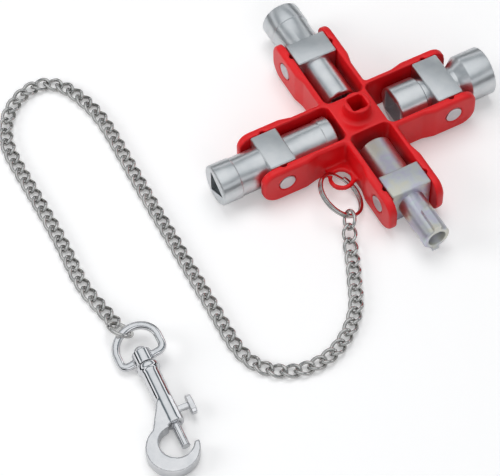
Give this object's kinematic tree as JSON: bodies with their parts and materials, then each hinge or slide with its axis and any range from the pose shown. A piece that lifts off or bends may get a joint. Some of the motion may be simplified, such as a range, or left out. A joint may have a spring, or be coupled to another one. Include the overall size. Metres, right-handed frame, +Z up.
{
  "type": "multi utility key",
  "caption": "Moulded red cross with double-ended socket keys pivoting in its forked arms, a bossed square socket in the hub, and a split ring, curb chain and swivel snap hook.",
  "frame": {"origin": "under the middle of the cross, on its flat underside", "axes": "+Z up through the boss; +X toward the arm with the wide key; +Y toward the arm with the collared square key; the ring's lug stands between -X and -Y"},
  "size_m": [0.1592, 0.1538, 0.0197],
  "materials": {
    "red_plastic": "glossy moulded",
    "red_rivet": "glossy",
    "satin_nickel": "bright satin nickel plate",
    "passivated_zinc": "grainy zinc, faintly iridescent",
    "nickel_wire": "polished nickel plate",
    "polished_chrome": "polished cast",
    "spring_steel": "drawn wire"
  },
  "bodies": {
    "cross": {"cross_body": "red_plastic", "rivet_a": "red_rivet", "rivet_b": "red_rivet", "rivet_c": "red_rivet", "rivet_d": "red_rivet"},
    "tube_key": {"tube_key": "passivated_zinc"},
    "square_key": {"square_key": "satin_nickel"},
    "triangle_key": {"triangle_key": "satin_nickel"},
    "wide_key": {"wide_key": "satin_nickel"},
    "split_ring": {"split_ring": "nickel_wire"},
    "chain_1": {"ring_link": "nickel_wire", "chain_links_1": "nickel_wire"},
    "chain_2": {"chain_links_2": "nickel_wire"},
    "chain_3": {"chain_links_3": "nickel_wire"},
    "chain_4": {"chain_links_4": "nickel_wire"},
    "chain_5": {"chain_links_5": "nickel_wire"},
    "chain_6": {"chain_links_6": "nickel_wire"},
    "chain_7": {"chain_links_7": "nickel_wire"},
    "chain_8": {"chain_links_8": "nickel_wire"},
    "eye_link": {"eye_link": "nickel_wire"},
    "swivel_eye": {"swivel_eye": "polished_chrome"},
    "snap_hook": {"hook_body": "polished_chrome", "bolt_spring": "spring_steel"},
    "trigger_bolt": {"trigger_bolt": "polished_chrome"}
  },
  "joints": [
    {"name": "tube_key_pivot", "type": "hinge", "parent": "cross", "child": "tube_key", "pos_m": [0, -0.03, 0.0073], "axis": [1, 0, 0], "continuous": true},
    {"name": "square_key_pivot", "type": "hinge", "parent": "cross", "child": "square_key", "pos_m": [0, 0.03, 0.0073], "axis": [1, 0, 0], "continuous": true},
    {"name": "triangle_key_pivot", "type": "hinge", "parent": "cross", "child": "triangle_key", "pos_m": [-0.03, 0, 0.0073], "axis": [0, 1, 0], "continuous": true},
    {"name": "wide_key_pivot", "type": "hinge", "parent": "cross", "child": "wide_key", "pos_m": [0.0293, 0, 0.0073], "axis": [0, 1, 0], "continuous": true},
    {"name": "ring_swing", "type": "hinge", "parent": "cross", "child": "split_ring", "pos_m": [-0.0163, -0.0174, 0.00425], "axis": [0.7071, -0.7071, 0], "range_deg": [-3, 3]},
    {"name": "chain_at_ring", "type": "hinge", "parent": "split_ring", "child": "chain_1", "pos_m": [-0.01834, -0.02824, 0.00443], "axis": [0, 0, 1], "range_deg": [-5, 5]},
    {"name": "chain_bend_1", "type": "hinge", "parent": "chain_1", "child": "chain_2", "pos_m": [-0.04224, -0.06581, 0.00066], "axis": [0, 0, 1], "range_deg": [0, 10]},
    {"name": "chain_bend_2", "type": "hinge", "parent": "chain_2", "child": "chain_3", "pos_m": [-0.07071, -0.04833, 0.00066], "axis": [0, 0, 1], "range_deg": [0, 10]},
    {"name": "chain_bend_3", "type": "hinge", "parent": "chain_3", "child": "chain_4", "pos_m": [-0.06961, -0.00605, 0.00066], "axis": [0, 0, 1], "range_deg": [-3, 3]},
    {"name": "chain_bend_4", "type": "hinge", "parent": "chain_4", "child": "chain_5", "pos_m": [-0.06819, 0.03622, 0.00066], "axis": [0, 0, 1], "range_deg": [-3, 3]},
    {"name": "chain_bend_5", "type": "hinge", "parent": "chain_5", "child": "chain_6", "pos_m": [-0.08561, 0.06703, 0.00066], "axis": [0, 0, 1], "range_deg": [-4, 0]},
    {"name": "chain_bend_6", "type": "hinge", "parent": "chain_6", "child": "chain_7", "pos_m": [-0.10012, 0.03079, 0.00066], "axis": [0, 0, 1], "range_deg": [-10, 0]},
    {"name": "chain_bend_7", "type": "hinge", "parent": "chain_7", "child": "chain_8", "pos_m": [-0.10149, -0.01145, 0.00066], "axis": [0, 0, 1], "range_deg": [-10, 0]},
    {"name": "chain_at_eye", "type": "hinge", "parent": "chain_8", "child": "eye_link", "pos_m": [-0.0995, -0.0269, 0.0022], "axis": [0, 0, 1], "range_deg": [-5, 5]},
    {"name": "eye_turn", "type": "hinge", "parent": "eye_link", "child": "swivel_eye", "pos_m": [-0.0975, -0.0325, 0.0036], "axis": [0, 0, 1], "range_deg": [-5, 5]},
    {"name": "hook_swivel", "type": "hinge", "parent": "swivel_eye", "child": "snap_hook", "pos_m": [-0.0977, -0.044, 0.00325], "axis": [-0.0697, -0.9966, -0.0436], "continuous": true},
    {"name": "bolt_slide", "type": "slide", "parent": "snap_hook", "child": "trigger_bolt", "axis": [0.0697, 0.9966, 0.0436], "range_m": [0, 0.0065], "stiffness_N_per_m": 120, "springref_m": -0.004, "deforming": ["bolt_spring"]}
  ]
}
